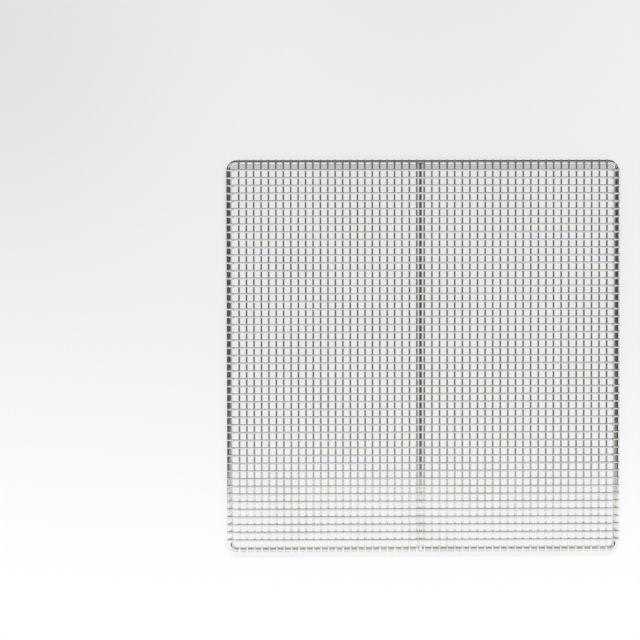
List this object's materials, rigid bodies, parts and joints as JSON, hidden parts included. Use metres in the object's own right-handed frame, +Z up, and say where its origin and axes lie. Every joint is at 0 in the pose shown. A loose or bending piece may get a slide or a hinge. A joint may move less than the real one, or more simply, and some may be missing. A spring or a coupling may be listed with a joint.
{
  "type": "cooling rack",
  "caption": "Flat square cooling rack: a round wire frame with a welded mesh of thin plated wires on top and a brace wire under the middle.",
  "frame": {"origin": "middle of the frame on the supporting surface, at the underside of the frame wire", "axes": "+Z up, mesh side on top; +X across the rack along the crosswise wires; +Y along the lengthwise wires and the brace"},
  "size_m": [0.343, 0.343, 0.0084],
  "materials": {
    "frame_plating": "bright nickel plate over drawn steel wire, slightly warm",
    "mesh_plating": "bright nickel plate over thin drawn steel wire, slightly warm"
  },
  "bodies": {
    "root": {"center_brace": "frame_plating", "crosswise_wires_01_02": "mesh_plating", "crosswise_wires_03_04": "mesh_plating", "crosswise_wires_05_06": "mesh_plating", "crosswise_wires_07_08": "mesh_plating", "crosswise_wires_09_10": "mesh_plating", "crosswise_wires_11_12": "mesh_plating", "crosswise_wires_13_14": "mesh_plating", "crosswise_wires_15_16": "mesh_plating", "crosswise_wires_17_18": "mesh_plating", "crosswise_wires_19_20": "mesh_plating", "crosswise_wires_21_22": "mesh_plating", "crosswise_wires_23_24": "mesh_plating", "crosswise_wires_25_26": "mesh_plating", "crosswise_wires_27_28": "mesh_plating", "crosswise_wires_29_30": "mesh_plating", "crosswise_wires_31_32": "mesh_plating", "crosswise_wires_33_34": "mesh_plating", "crosswise_wires_35_36": "mesh_plating", "crosswise_wires_37_38": "mesh_plating", "crosswise_wires_39_40": "mesh_plating", "crosswise_wires_41_42": "mesh_plating", "crosswise_wires_43_44": "mesh_plating", "crosswise_wires_45_46": "mesh_plating", "crosswise_wires_47_48": "mesh_plating", "crosswise_wires_49": "mesh_plating", "frame_wire": "frame_plating", "lengthwise_wires_01_02": "mesh_plating", "lengthwise_wires_03_04": "mesh_plating", "lengthwise_wires_05_06": "mesh_plating", "lengthwise_wires_07_08": "mesh_plating", "lengthwise_wires_09_10": "mesh_plating", "lengthwise_wires_11_12": "mesh_plating", "lengthwise_wires_13_14": "mesh_plating", "lengthwise_wires_15_16": "mesh_plating", "lengthwise_wires_17_18": "mesh_plating", "lengthwise_wires_19_20": "mesh_plating", "lengthwise_wires_21_22": "mesh_plating", "lengthwise_wires_23_24": "mesh_plating", "lengthwise_wires_25_26": "mesh_plating", "lengthwise_wires_27_28": "mesh_plating", "lengthwise_wires_29_30": "mesh_plating", "lengthwise_wires_31_32": "mesh_plating", "lengthwise_wires_33_34": "mesh_plating", "lengthwise_wires_35_36": "mesh_plating", "lengthwise_wires_37_38": "mesh_plating", "lengthwise_wires_39_40": "mesh_plating", "lengthwise_wires_41_42": "mesh_plating", "lengthwise_wires_43_44": "mesh_plating", "lengthwise_wires_45_46": "mesh_plating", "lengthwise_wires_47_48": "mesh_plating", "lengthwise_wires_49_50": "mesh_plating"}
  },
  "joints": []
}
